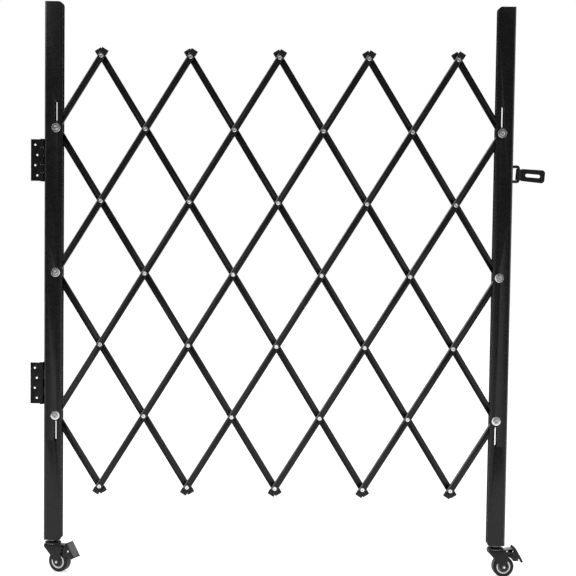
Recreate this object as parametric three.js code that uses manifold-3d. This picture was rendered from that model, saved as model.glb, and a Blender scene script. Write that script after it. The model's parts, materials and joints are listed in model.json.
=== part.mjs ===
// Folding safety barrier: two steel channel posts joined by a riveted lattice of channel bars,
// hung on two wall hinges, closed by a swinging hasp and carried on two braked casters.
// Millimetres, +Z up, +X from the hinge side to the hasp side, front of the barrier to -Y.

import * as THREE from 'three';
import { mergeVertices } from 'three/addons/utils/BufferGeometryUtils.js';
import Module from 'manifold-3d';

const wasm = await Module();
wasm.setup();

// Lattice
const columnSteps = 10;
const rowSteps = 6;
const linkPitch = 202;
const openAngle = THREE.MathUtils.degToRad(31.63);
const shutAngle = THREE.MathUtils.degToRad(3.7);
const barWidth = 16;
const barDepth = 8;
const barWall = 1.3;
const barBend = 2;
const layerGap = 2.2;
const barPastRivet = 17;
const barPastBolt = 11;

// Clearances
const seatGap = 0.3;
const turnGap = 0.4;
const capMidGap = 0.4;
const rivetToFlange = 1.4;
const weldBite = 0.1;
const cutOver = 1;

// Rivets
const rivetRadius = 3;
const rivetHeadRadius = 5;
const rivetHeadHeight = 2;
const rivetTailRadius = 4.6;
const rivetTailHeight = 1.7;
const rivetCrownShare = 0.75;
const rivetTailShare = 0.8;

// Bar end caps
const capWall = 0.5;
const capFaceWall = 1;
const capEndWall = 1.5;
const capLength = 12;
const capEdgeShare = 0.85;

// Posts
const postWidth = 43;
const postWall = 1.5;
const postBend = 3;
const postHeadroom = 18.2;
const postFootroom = 24.2;
const boltFromWeb = 27.5;
const topCorner = 10.5;
const footCorner = 6.5;
const footPlateThickness = 3;

// Post bolts
const boltRadius = 3;
const boltHeadRadius = 6.6;
const boltHeadHeight = 4.2;
const washerRadius = 10.7;
const washerThickness = 1.6;
const nutRadius = 5.8;
const nutHeight = 5;
const boltCrownShare = 0.6;
const boltEdgeShare = 0.4;

// Wall hinges
const hingeFromMiddle = 266.7;
const hingeHeight = 99;
const postLeafExtra = 1.2;
const leafThickness = 2.4;
const wallLeafWidth = 26.7;
const postLeafWidth = 24;
const barrelRadius = 3.8;
const barrelBite = 0.9;
const pinRadius = 2.3;
const knuckleGap = 0.4;
const knuckleCount = 5;
const screwCount = 4;
const screwPitch = 24.2;
const screwFromEdge = 10.1;
const screwStagger = 4.8;
const screwRadius = 2.8;
const sinkRadius = 4.6;

// Hasp
const haspFromMiddle = 247.7;
const stapleRadius = 3.5;
const stapleReach = 14.5;
const stapleHeight = 42.5;
const stapleTailRadius = 5;
const stapleTailLength = 2;
const stapleBendShare = 0.65;
const tabLength = 63;
const tabHeight = 31.5;
const tabThickness = 4;
const tabCorner = 6;
const tabWrapWall = 1.6;
const tabShoulderShare = 0.4;
const wrapEndGap = 1.1;
const tabSlotLength = 36;
const tabSlotWidth = 9.5;
const tabSlotFromEnd = 10;
const tabDroop = THREE.MathUtils.degToRad(4.4);

// Casters
const wheelRadius = 25.4;
const wheelWidth = 21;
const wheelTrail = 19;
const rimShare = 0.68;
const treadEdgeShare = 0.93;
const treadFlatShare = 0.75;
const webShare = 0.6;
const axleBelowPost = 51.6;
const stemRadius = 5;
const stemEnd = 1.5;
const footNutRadius = 11;
const footNutHeight = 3.4;
const lockNutRadius = 8.3;
const lockNutHeight = 6;
const dishRadius = 20;
const dishHeight = 5.2;
const dishCrownShare = 0.7;
const dishEdgeShare = 0.4;
const raceRadius = 17;
const raceHeight = 1.8;
const crownThickness = 2.5;
const forkPlate = 2;
const forkSideGap = 0.6;
const crownFrontShare = 0.9;
const legFrontShare = 0.85;
const crownRearShare = 1.2;
const legShoulder = 6.5;
const hubOverhang = 2;
const hubRadius = 8;
const axleRadius = 3;
const axleHeadRadius = 4.8;
const axleHeadHeight = 2.6;
const axleHeadShare = 0.7;
const axleBossRadius = 8.5;
const bossCornerShares = [2, 2];
const pedalPivotTrail = 43;
const pedalPivotDrop = 21.8;
const pedalPinRadius = 2.4;
const pedalEarRadius = 6;
const pedalTopTrail = 47.5;
const pedalTopDrop = 6.8;
const pedalToeTrail = 66;
const pedalToeDrop = 38.3;
const pedalThickness = 2;
const pedalCheek = 1.6;
const shoeRadius = 3;
const shoeBelowPivot = 11;
const lighteningRadius = 3;
const leftCasterYaw = THREE.MathUtils.degToRad(-22);
const rightCasterYaw = THREE.MathUtils.degToRad(7);

// Facets of round forms
const rivetSides = 10;
const boltSides = 10;
const barrelSides = 12;
const wheelSides = 20;
const smallSides = 8;

// Sizes that follow from the ones above
const columnPitch = linkPitch * Math.sin(openAngle);
const rowPitch = linkPitch * Math.cos(openAngle);
const barFace = layerGap / 2 + barDepth;
const postDepth = 2 * (barFace + rivetHeadHeight + rivetToFlange + postWall);
const capReach = barPastRivet + seatGap + capEndWall;
const foldedReach = (rowSteps / 2) * linkPitch * Math.cos(shutAngle) + capReach;
const postTop = foldedReach + postHeadroom;
const postFoot = foldedReach + postFootroom;
const slotInner = 2 * rowPitch;
const slotOuter = 2 * linkPitch * Math.cos(shutAngle);
const boltLine = (columnSteps / 2) * columnPitch;
const postMiddle = boltLine + boltFromWeb - postWidth / 2;
const middleHeight = postFoot + axleBelowPost + wheelRadius;
const stapleBar = boltLine + boltFromWeb + stapleReach;
const pinFromWeb = seatGap + leafThickness + barrelRadius - barrelBite;

// Circumscribed radius of a many-sided hole whose flats keep a gap to a shaft
function holeRadius(shaft, gap, sides) {
  return (shaft + gap) / Math.cos(Math.PI / sides);
}

// A closed geometry as a solid: shared corners merged, flat slivers dropped, faces outwards
function solid(geometry) {
  const bare = geometry.clone();
  bare.deleteAttribute('normal');
  bare.deleteAttribute('uv');
  const merged = mergeVertices(bare);
  const corners = merged.attributes.position;
  const corner = [0, 1, 2].map(() => new THREE.Vector3());
  const faces = [];
  let volume = 0;
  for (let i = 0; i < merged.index.count; i += 3) {
    const face = [0, 1, 2].map((j) => merged.index.getX(i + j));
    if (new Set(face).size < 3) continue;
    face.forEach((v, j) => corner[j].fromBufferAttribute(corners, v));
    volume += corner[0].dot(corner[1].cross(corner[2]));
    faces.push(face);
  }
  if (volume < 0) faces.forEach((face) => face.reverse());
  return new wasm.Manifold(new wasm.Mesh({
    numProp: 3,
    vertProperties: Float32Array.from(corners.array),
    triVerts: Uint32Array.from(faces.flat()),
  }));
}

function geometryOf(body) {
  const mesh = body.getMesh();
  const geometry = new THREE.BufferGeometry();
  geometry.setAttribute('position', new THREE.BufferAttribute(mesh.vertProperties, 3));
  geometry.setIndex(new THREE.BufferAttribute(mesh.triVerts, 1));
  geometry.computeVertexNormals();
  return geometry;
}

function joined(first, ...others) {
  return others.reduce((whole, next) => whole.add(next), first);
}

function cutBy(body, ...tools) {
  return tools.reduce((rest, tool) => rest.subtract(tool), body);
}

function outline(points) {
  return new THREE.Shape(points.map(([u, v]) => new THREE.Vector2(u, v)));
}

// Outline in X and Y, raised along Z
function raised(shape, low, high, curveSegments = 3) {
  const geometry = new THREE.ExtrudeGeometry(shape, {
    depth: high - low, bevelEnabled: false, curveSegments,
  });
  return solid(geometry.translate(0, 0, low));
}

// Outline in X and Z, drawn along Y
function across(shape, front, back, curveSegments = 3) {
  const geometry = new THREE.ExtrudeGeometry(shape, {
    depth: back - front, bevelEnabled: false, curveSegments,
  });
  return solid(geometry.rotateX(Math.PI / 2).translate(0, back, 0));
}

function block(x0, x1, y0, y1, z0, z1) {
  const geometry = new THREE.BoxGeometry(x1 - x0, y1 - y0, z1 - z0);
  return solid(geometry.translate((x0 + x1) / 2, (y0 + y1) / 2, (z0 + z1) / 2));
}

function rodZ(radius, low, high, sides, x = 0, y = 0) {
  const geometry = new THREE.CylinderGeometry(radius, radius, high - low, sides);
  return solid(geometry.rotateX(Math.PI / 2).translate(x, y, (low + high) / 2));
}

function rodY(radius, front, back, sides, x = 0, z = 0) {
  const geometry = new THREE.CylinderGeometry(radius, radius, back - front, sides);
  return solid(geometry.translate(x, (front + back) / 2, z));
}

function rodX(radius, left, right, sides, y = 0, z = 0) {
  const geometry = new THREE.CylinderGeometry(radius, radius, right - left, sides);
  return solid(geometry.rotateZ(Math.PI / 2).translate((left + right) / 2, y, z));
}

// Turned form about the Y axis, from [radius, y] pairs
function turnedY(profile, sides) {
  return solid(new THREE.LatheGeometry(profile.map(([r, y]) => new THREE.Vector2(r, y)), sides));
}

// Turned form about the Z axis, from [radius, z] pairs
function turnedZ(profile, sides) {
  const points = profile.map(([r, z]) => new THREE.Vector2(r, z));
  return solid(new THREE.LatheGeometry(points, sides).rotateX(Math.PI / 2));
}

// Channel section: web on y = 0, flanges towards +Y, bent outer corners
function channelSection(width, depth, wall, bend) {
  const half = width / 2;
  const shape = new THREE.Shape();
  shape.moveTo(half, depth);
  shape.lineTo(half - wall, depth);
  shape.lineTo(half - wall, wall);
  shape.lineTo(wall - half, wall);
  shape.lineTo(wall - half, depth);
  shape.lineTo(-half, depth);
  shape.absarc(bend - half, bend, bend, Math.PI, 1.5 * Math.PI);
  shape.absarc(half - bend, bend, bend, 1.5 * Math.PI, 2 * Math.PI);
  shape.closePath();
  return shape;
}

// A slot with round ends, long along the first axis of its outline
function slotShape(from, to, width, cross = 0) {
  const shape = new THREE.Shape();
  shape.absarc(to, cross, width / 2, -Math.PI / 2, Math.PI / 2);
  shape.absarc(from, cross, width / 2, Math.PI / 2, 1.5 * Math.PI);
  shape.closePath();
  return shape;
}

// Paints and finishes
const black = { color: 0x101112, roughness: 0.45, metalness: 0.2 };
const plastic = { color: 0x0c0c0d, roughness: 0.6, metalness: 0 };
const zinc = { color: 0xb9bcc0, roughness: 0.3, metalness: 0.9 };
const rubber = { color: 0x141415, roughness: 0.75, metalness: 0 };

const barrier = new THREE.Group();

function place(name, body, finish, parent = barrier) {
  const mesh = new THREE.Mesh(geometryOf(body), new THREE.MeshStandardMaterial(finish));
  mesh.name = name;
  parent.add(mesh);
  return mesh;
}

function columnX(column) {
  return (column - columnSteps / 2) * columnPitch;
}

function rowZ(row) {
  return (rowSteps / 2 - row) * rowPitch + middleHeight;
}

// Rivet through both layers, about the Y axis, with its head at the front
function rivet() {
  const head = -barFace + weldBite;
  const tail = barFace + seatGap;
  return turnedY([
    [0, -barFace - rivetHeadHeight], [rivetHeadRadius * rivetCrownShare, -barFace - rivetHeadHeight],
    [rivetHeadRadius, head], [rivetRadius, head], [rivetRadius, tail],
    [rivetTailRadius, tail], [rivetTailRadius * rivetTailShare, tail + rivetTailHeight],
    [0, tail + rivetTailHeight],
  ], rivetSides);
}

// Channel bar standing along Z with its pivots at multiples of the link pitch
function bar(front, spans, lowEnd, highEnd, bolts) {
  const section = channelSection(barWidth, barDepth, barWall, barBend);
  const length = spans * linkPitch;
  const channel = raised(section, -lowEnd, length + highEnd, 2).translate(0, -barFace, 0);
  let body = front ? channel : channel.rotate(0, 0, 180);
  const shaft = (radius, z) => rodY(
    holeRadius(radius, turnGap, rivetSides), -barFace - cutOver, barFace + cutOver, rivetSides, 0, z);
  for (let i = 0; i <= spans; i += 1) {
    const z = i * linkPitch;
    if (bolts.includes(i)) body = body.subtract(shaft(boltRadius, z));
    else if (front) body = body.add(rivet().translate(0, 0, z));
    else body = body.subtract(shaft(rivetRadius, z));
  }
  return body;
}

// Slip-over end cap of a front bar's upper end, with z = 0 at the last rivet
function endCap() {
  const half = barWidth / 2 + seatGap;
  const face = -barFace - seatGap;
  const inner = -layerGap / 2 + seatGap;
  const back = -capMidGap;
  const side = half + capWall;
  const edge = side * capEdgeShare;
  const front = face - capFaceWall;
  const bevel = side - edge;
  const sleeve = raised(outline([
    [-edge, front], [edge, front], [side, front + bevel], [side, back], [-side, back],
    [-side, front + bevel],
  ]), capReach - capLength, capReach);
  const pocket = block(-half, half, face, inner, capReach - capLength - cutOver,
    barPastRivet + seatGap);
  return sleeve.subtract(pocket);
}

// The front bars rise to the right and the back bars fall to the right. Pivots lie where
// column plus row is odd, and a bar ends in a post bolt on the first and last column.
function latticeBar(front, number) {
  const line = front ? 2 * number - 1 : 2 * number - rowSteps - 1;
  const top = front ? Math.max(0, line - columnSteps) : Math.max(0, -line);
  const bottom = front ? Math.min(rowSteps, line) : Math.min(rowSteps, columnSteps - line);
  const columnAt = (row) => (front ? line - row : line + row);
  const spans = bottom - top;
  const onPost = (row) => columnAt(row) === 0 || columnAt(row) === columnSteps;
  const bolts = [];
  if (onPost(bottom)) bolts.push(0);
  if (onPost(top)) bolts.push(spans);
  const lowEnd = onPost(bottom) ? barPastBolt : barPastRivet;
  const highEnd = onPost(top) ? barPastBolt : barPastRivet;

  const name = `${front ? 'front' : 'back'}_bar_${number}`;
  const arm = new THREE.Group();
  arm.position.set(columnX(columnAt(bottom)), 0, rowZ(bottom));
  arm.rotation.y = front ? openAngle : -openAngle;
  barrier.add(arm);
  place(name, bar(front, spans, lowEnd, highEnd, bolts), black, arm);
  const cap = front ? endCap() : endCap().rotate(0, 0, 180);
  if (!onPost(top)) place(`${name}_top_cap`, cap.translate(0, 0, spans * linkPitch), plastic, arm);
  if (!onPost(bottom)) place(`${name}_foot_cap`, cap.rotate(0, 180, 0), plastic, arm);
}

const barCount = (columnSteps + rowSteps) / 2;
for (let number = 1; number <= barCount; number += 1) {
  latticeBar(true, number);
  latticeBar(false, number);
}

// Left post about its middle bolt: web towards -X, open towards the lattice
function post(staple) {
  const section = channelSection(postDepth, postWidth, postWall, postBend);
  let body = raised(section, -postFoot, postTop).rotate(0, 0, -90);
  body = body.translate(-boltFromWeb, 0, 0);
  const free = postWidth - boltFromWeb;
  const reach = postDepth / 2 + cutOver;
  const slotWidth = 2 * (boltRadius + turnGap);
  for (const [side, end, round] of [[-1, postFoot, footCorner], [1, postTop, topCorner]]) {
    const slot = across(slotShape(slotInner - turnGap, slotOuter + turnGap, slotWidth), -reach, reach);
    body = body.subtract(slot.rotate(0, -90 * side, 0));
    const corner = new THREE.Shape();
    corner.moveTo(free + cutOver, end + cutOver);
    corner.lineTo(free - round, end + cutOver);
    corner.lineTo(free - round, end);
    corner.absarc(free - round, end - round, round, Math.PI / 2, 0, true);
    corner.lineTo(free + cutOver, end - round);
    corner.closePath();
    const cutter = across(corner, -reach, reach, 3);
    body = body.subtract(side > 0 ? cutter : cutter.mirror([0, 0, 1]));
  }
  body = body.subtract(rodY(holeRadius(boltRadius, turnGap, boltSides), -reach, reach, boltSides));

  const wide = postDepth / 2 - postWall + weldBite;
  const footPlate = block(-boltFromWeb + postWall - weldBite, free - footCorner, -wide, wide,
    -postFoot, -postFoot + footPlateThickness);
  const stemHole = rodZ(holeRadius(stemRadius, seatGap, boltSides), -postFoot - cutOver,
    -postFoot + footPlateThickness + cutOver, boltSides, postWidth / 2 - boltFromWeb);
  body = body.add(footPlate).subtract(stemHole);
  if (!staple) return body;

  const armHeight = stapleHeight / 2 - stapleRadius;
  for (const side of [-1, 1]) {
    body = body.subtract(rodX(holeRadius(stapleRadius, seatGap, boltSides),
      -boltFromWeb - cutOver, -boltFromWeb + postWall + cutOver, boltSides,
      0, haspFromMiddle + side * armHeight));
  }
  return body;
}

place('left_post', post(false), black).position.set(-boltLine, 0, middleHeight);
place('right_post', post(true).rotate(0, 0, 180), black).position.set(boltLine, 0, middleHeight);

// Post bolt with its two washers and its nut, about the Y axis
function postBolt() {
  const face = postDepth / 2 + seatGap;
  const seat = face + washerThickness;
  const crown = seat + boltHeadHeight;
  return turnedY([
    [0, -crown], [boltHeadRadius * boltCrownShare, -crown],
    [boltHeadRadius, -seat - boltHeadHeight * boltEdgeShare],
    [boltHeadRadius, -seat], [washerRadius, -seat], [washerRadius, -face], [boltRadius, -face],
    [boltRadius, face], [washerRadius, face], [washerRadius, seat], [nutRadius, seat],
    [nutRadius, seat + nutHeight], [0, seat + nutHeight],
  ], boltSides);
}

const boltRows = { top: 1, middle: rowSteps / 2, bottom: rowSteps - 1 };
for (const [level, row] of Object.entries(boltRows)) {
  place(`left_${level}_bolt`, postBolt(), zinc).position.set(-boltLine, 0, rowZ(row));
  place(`right_${level}_bolt`, postBolt(), zinc).position.set(boltLine, 0, rowZ(row));
}

// Hinge knuckles share the height of the wall leaf; the post leaf has the first and last one
const knuckleHeight = hingeHeight / knuckleCount;

function knuckleSpan(index, extra) {
  const low = -hingeHeight / 2 + index * knuckleHeight + knuckleGap / 2;
  const high = low + knuckleHeight - knuckleGap;
  return [index === 0 ? low - extra : low, index === knuckleCount - 1 ? high + extra : high];
}

// Wall leaf about the pin: flat plate towards -X, flush with the back of the barrel
function wallLeaf() {
  const back = barrelRadius;
  const front = back - leafThickness;
  const stop = -barrelRadius - knuckleGap;
  let leaf = block(-wallLeafWidth, stop, front, back, -hingeHeight / 2, hingeHeight / 2);
  for (let index = 1; index < knuckleCount; index += 2) {
    const [low, high] = knuckleSpan(index, 0);
    leaf = joined(leaf, block(stop - weldBite, 0, front, back, low, high),
      rodZ(barrelRadius, low, high, barrelSides));
  }
  leaf = leaf.subtract(rodZ(holeRadius(pinRadius, turnGap, barrelSides), -hingeHeight / 2,
    hingeHeight / 2, barrelSides));
  for (let i = 0; i < screwCount; i += 1) {
    const x = -wallLeafWidth + screwFromEdge + (i % 2) * screwStagger;
    const z = ((screwCount - 1) / 2 - i) * screwPitch;
    const hole = turnedY([
      [0, front - cutOver], [sinkRadius + cutOver, front - cutOver],
      [screwRadius, front - cutOver + sinkRadius + cutOver - screwRadius],
      [screwRadius, back + cutOver], [0, back + cutOver],
    ], rivetSides);
    leaf = leaf.subtract(hole.translate(x, 0, z));
  }
  return leaf;
}

// Post leaf about the pin: plate along the post's web, with the pin fixed in its knuckles
function postLeaf() {
  const face = pinFromWeb - seatGap;
  const half = hingeHeight / 2 + postLeafExtra;
  const start = barrelRadius + knuckleGap;
  let leaf = block(face - leafThickness, face, start, start + postLeafWidth, -half, half);
  for (let index = 0; index < knuckleCount; index += 2) {
    const [low, high] = knuckleSpan(index, postLeafExtra - knuckleGap / 2);
    leaf = joined(leaf, block(face - leafThickness, face, 0, start + weldBite, low, high),
      rodZ(barrelRadius, low, high, barrelSides));
  }
  return leaf.add(rodZ(pinRadius, -half + weldBite, half - weldBite, barrelSides));
}

for (const [level, side] of [['upper', 1], ['lower', -1]]) {
  const hinge = new THREE.Group();
  hinge.position.set(-boltLine - boltFromWeb - pinFromWeb, -postDepth / 2,
    middleHeight + side * hingeFromMiddle);
  barrier.add(hinge);
  place(`${level}_wall_leaf`, wallLeaf(), black, hinge);
  place(`${level}_post_leaf`, postLeaf(), black, hinge);
}

// Round rod bent in the XZ plane along a line of [x, z] points, mitred at each bend
function bentRod(points, radius, sides) {
  const path = points.map(([x, z]) => new THREE.Vector2(x, z));
  const vertices = [];
  path.forEach((point, i) => {
    const before = point.clone().sub(path[Math.max(i - 1, 0)]).normalize();
    const after = path[Math.min(i + 1, path.length - 1)].clone().sub(point).normalize();
    const along = before.clone().add(after).normalize();
    const stretch = 1 / (before.length() ? along.dot(before) : along.dot(after));
    for (let k = 0; k < sides; k += 1) {
      const turn = (2 * Math.PI * k) / sides;
      const out = radius * Math.cos(turn) * stretch;
      vertices.push(point.x - along.y * out, radius * Math.sin(turn), point.y + along.x * out);
    }
  });
  const faces = [];
  for (let i = 0; i + 1 < path.length; i += 1) {
    for (let k = 0; k < sides; k += 1) {
      const a = i * sides + k;
      const b = i * sides + ((k + 1) % sides);
      faces.push(a, b, b + sides, a, b + sides, a + sides);
    }
  }
  const last = (path.length - 1) * sides;
  for (let k = 1; k + 1 < sides; k += 1) {
    faces.push(0, k + 1, k, last, last + k, last + k + 1);
  }
  const geometry = new THREE.BufferGeometry();
  geometry.setAttribute('position', new THREE.Float32BufferAttribute(vertices, 3));
  geometry.setIndex(faces);
  return solid(geometry);
}

// Staple about its upright: arms run through the post's web and end in upset tails
function staple() {
  const arm = stapleHeight / 2 - stapleRadius;
  const bend = stapleRadius * stapleBendShare;
  const tail = -stapleReach - postWall - seatGap - stapleTailLength;
  const rod = bentRod([
    [tail + weldBite, arm], [-bend, arm], [0, arm - bend], [0, bend - arm], [-bend, -arm],
    [tail + weldBite, -arm],
  ], stapleRadius, boltSides);
  const tails = [-1, 1].map((side) => rodX(stapleTailRadius, tail, tail + stapleTailLength,
    boltSides, 0, side * arm));
  return joined(rod, ...tails);
}

// Hasp tab about the staple's upright: doubled strap with a slot, wrapped round the rod
function haspTab() {
  const wrapHalf = stapleHeight / 2 - 2 * stapleRadius - wrapEndGap;
  const bore = holeRadius(stapleRadius, turnGap + wrapHalf * Math.tan(tabDroop), barrelSides);
  const wrap = bore + tabWrapWall;
  const half = tabHeight / 2;
  const shoulder = wrap + (half - wrapHalf) * tabShoulderShare;
  const shape = new THREE.Shape();
  shape.moveTo(0, -wrapHalf);
  shape.lineTo(wrap, -wrapHalf);
  shape.lineTo(shoulder, -half);
  shape.absarc(tabLength - tabCorner, tabCorner - half, tabCorner, 1.5 * Math.PI, 2 * Math.PI);
  shape.absarc(tabLength - tabCorner, half - tabCorner, tabCorner, 0, Math.PI / 2);
  shape.lineTo(shoulder, half);
  shape.lineTo(wrap, wrapHalf);
  shape.lineTo(0, wrapHalf);
  shape.closePath();
  const strap = across(shape, -tabThickness / 2, tabThickness / 2);
  const slotEnd = tabLength - tabSlotFromEnd - tabSlotWidth / 2;
  const slotStart = slotEnd - tabSlotLength + tabSlotWidth;
  return cutBy(joined(strap, rodZ(wrap, -wrapHalf, wrapHalf, barrelSides)),
    across(slotShape(slotStart, slotEnd, tabSlotWidth), -tabThickness, tabThickness, 4),
    rodZ(bore, -half, half, barrelSides));
}

place('hasp_staple', staple(), black).position.set(stapleBar, 0, middleHeight + haspFromMiddle);
const tab = place('hasp_tab', haspTab(), black);
tab.position.set(stapleBar, 0, middleHeight + haspFromMiddle);

// Caster about its swivel axis, z = 0 at the underside of the post, trailing towards +X
const dishTop = -seatGap - footNutHeight;
const raceTop = dishTop - dishHeight;
const crownTop = raceTop - raceHeight - seatGap;
const crownUnder = crownTop - crownThickness;
const legInner = wheelWidth / 2 + hubOverhang + forkSideGap;
const legOuter = legInner + forkPlate;
const cheekInner = legOuter + turnGap;
const cheekOuter = cheekInner + pedalCheek;

// Stem with its lock nut inside the post, foot nut, upper dish, ball race and king pin
function casterMount() {
  const plate = footPlateThickness + seatGap;
  const pin = stemRadius;
  const retainer = crownUnder - seatGap;
  return turnedZ([
    [0, plate + lockNutHeight + stemEnd], [stemRadius, plate + lockNutHeight + stemEnd],
    [stemRadius, plate + lockNutHeight], [lockNutRadius, plate + lockNutHeight],
    [lockNutRadius, plate], [stemRadius, plate], [stemRadius, -seatGap],
    [footNutRadius, -seatGap], [footNutRadius, dishTop], [dishRadius * dishCrownShare, dishTop],
    [dishRadius, dishTop - dishHeight * dishEdgeShare], [dishRadius, raceTop], [raceRadius, raceTop],
    [raceRadius, raceTop - raceHeight], [pin, raceTop - raceHeight], [pin, retainer],
    [pin + hubOverhang, retainer], [pin + hubOverhang, retainer - hubOverhang],
    [0, retainer - hubOverhang],
  ], barrelSides);
}

// One fork leg seen from the side: shoulder, axle boss and the ear that carries the pedal
function legShape() {
  const shape = new THREE.Shape();
  const boss = -axleBelowPost;
  const ear = -pedalPivotDrop;
  const front = -dishRadius * legFrontShare;
  shape.moveTo(front, crownTop);
  shape.lineTo(front, crownTop - legShoulder);
  const [cornerBack, cornerUp] = bossCornerShares.map((share) => share * axleBossRadius);
  shape.lineTo(wheelTrail - cornerBack, boss + cornerUp);
  shape.absarc(wheelTrail, boss, axleBossRadius, 1.1 * Math.PI, 2.1 * Math.PI);
  shape.lineTo((wheelTrail + pedalPivotTrail) / 2 - crownThickness, ear - pedalEarRadius);
  shape.absarc(pedalPivotTrail, ear, pedalEarRadius, 1.5 * Math.PI, 2.5 * Math.PI);
  shape.lineTo(dishRadius * crownRearShare, crownTop);
  shape.closePath();
  return shape;
}

function casterFork() {
  const leg = (inner) => across(legShape(), inner, inner + forkPlate, 4);
  const crown = block(-dishRadius * crownFrontShare, dishRadius * crownRearShare,
    -legInner - weldBite, legInner + weldBite, crownUnder, crownTop);
  return cutBy(joined(crown, leg(legInner), leg(-legOuter)),
    rodZ(holeRadius(stemRadius, turnGap, barrelSides), crownUnder - cutOver, crownTop + cutOver,
      barrelSides),
    rodY(holeRadius(axleRadius, seatGap, boltSides), -legOuter - cutOver, legOuter + cutOver,
      boltSides, wheelTrail, -axleBelowPost),
    rodY(holeRadius(pedalPinRadius, turnGap, smallSides), -legOuter - cutOver, legOuter + cutOver,
      smallSides, pedalPivotTrail, -pedalPivotDrop),
    rodY(lighteningRadius, -legOuter - cutOver, legOuter + cutOver, smallSides,
      (wheelTrail + pedalPivotTrail) / 2 + lighteningRadius, -pedalPivotDrop));
}

// Wheel about the Y axis at its hub: rounded tyre, recessed web and a proud hub
function casterWheel() {
  const half = wheelWidth / 2;
  const bore = holeRadius(axleRadius, turnGap, wheelSides);
  const hub = half + hubOverhang;
  const rim = wheelRadius * rimShare;
  const web = half * webShare;
  const profile = [
    [bore, hub], [hubRadius, hub], [hubRadius, web], [rim, web], [rim, half],
    [wheelRadius * treadEdgeShare, half], [wheelRadius, half * treadFlatShare],
  ];
  const mirrored = profile.map(([r, y]) => [r, -y]).reverse();
  return turnedY([...profile, ...mirrored, profile[0]], wheelSides);
}

function casterAxle() {
  const face = legOuter + seatGap;
  return turnedY([
    [0, -face - axleHeadHeight], [axleHeadRadius * axleHeadShare, -face - axleHeadHeight],
    [axleHeadRadius, -face], [axleRadius, -face], [axleRadius, face], [axleHeadRadius, face],
    [axleHeadRadius * axleHeadShare, face + axleHeadHeight], [0, face + axleHeadHeight],
  ], boltSides);
}

// Brake pedal: foot plate between two cheeks, cross pin through the fork's ears, and the shoe
function casterPedal() {
  const along = new THREE.Vector2(pedalToeTrail - pedalTopTrail, pedalTopDrop - pedalToeDrop);
  along.normalize();
  const inward = new THREE.Vector2(along.y, -along.x).multiplyScalar(pedalThickness);
  const plate = outline([
    [pedalTopTrail, -pedalTopDrop], [pedalToeTrail, -pedalToeDrop],
    [pedalToeTrail + inward.x, -pedalToeDrop + inward.y],
    [pedalTopTrail + inward.x, -pedalTopDrop + inward.y],
  ]);
  const shoeZ = -pedalPivotDrop - shoeBelowPivot;
  const cheek = new THREE.Shape();
  cheek.moveTo(pedalToeTrail + inward.x, -pedalToeDrop + inward.y);
  cheek.lineTo(pedalTopTrail, -pedalTopDrop);
  cheek.absarc(pedalPivotTrail, -pedalPivotDrop, pedalEarRadius, 0.7 * Math.PI, 1.1 * Math.PI);
  cheek.absarc(pedalPivotTrail, shoeZ, shoeRadius + forkPlate / 2, 1.1 * Math.PI, 1.6 * Math.PI);
  cheek.lineTo((pedalPivotTrail + pedalToeTrail) / 2, -pedalToeDrop + pedalThickness);
  cheek.closePath();
  const bite = weldBite + cheekInner;
  const pin = rodY(pedalPinRadius, -bite, bite, smallSides, pedalPivotTrail, -pedalPivotDrop);
  const shoe = rodY(shoeRadius, -bite, bite, smallSides, pedalPivotTrail, shoeZ);
  const window = rodY(lighteningRadius, -cheekOuter - cutOver, cheekOuter + cutOver, smallSides,
    pedalPivotTrail + pedalEarRadius + pedalThickness / 2, -pedalPivotDrop);
  return joined(across(plate, -cheekOuter, cheekOuter), pin, shoe,
    across(cheek, cheekInner, cheekOuter, 2).subtract(window),
    across(cheek, -cheekOuter, -cheekInner, 2).subtract(window));
}

for (const [side, sign, yaw] of [['left', -1, leftCasterYaw], ['right', 1, rightCasterYaw]]) {
  const caster = new THREE.Group();
  caster.position.set(sign * postMiddle, 0, middleHeight - postFoot);
  caster.rotation.z = yaw;
  barrier.add(caster);
  place(`${side}_caster_mount`, casterMount(), zinc, caster);
  place(`${side}_caster_fork`, casterFork(), black, caster);
  const wheel = place(`${side}_caster_wheel`, casterWheel(), rubber, caster);
  wheel.position.set(wheelTrail, 0, -axleBelowPost);
  const axle = place(`${side}_caster_axle`, casterAxle(), zinc, caster);
  axle.position.set(wheelTrail, 0, -axleBelowPost);
  place(`${side}_caster_pedal`, casterPedal(), black, caster);
}
tab.rotation.y = tabDroop;

// The barrier stands on its wheels at z = 0, with its box centred over the origin
const reach = new THREE.Box3().setFromObject(barrier, true);
barrier.position.set(-(reach.min.x + reach.max.x) / 2, -(reach.min.y + reach.max.y) / 2, -reach.min.z);

export default barrier;
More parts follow.
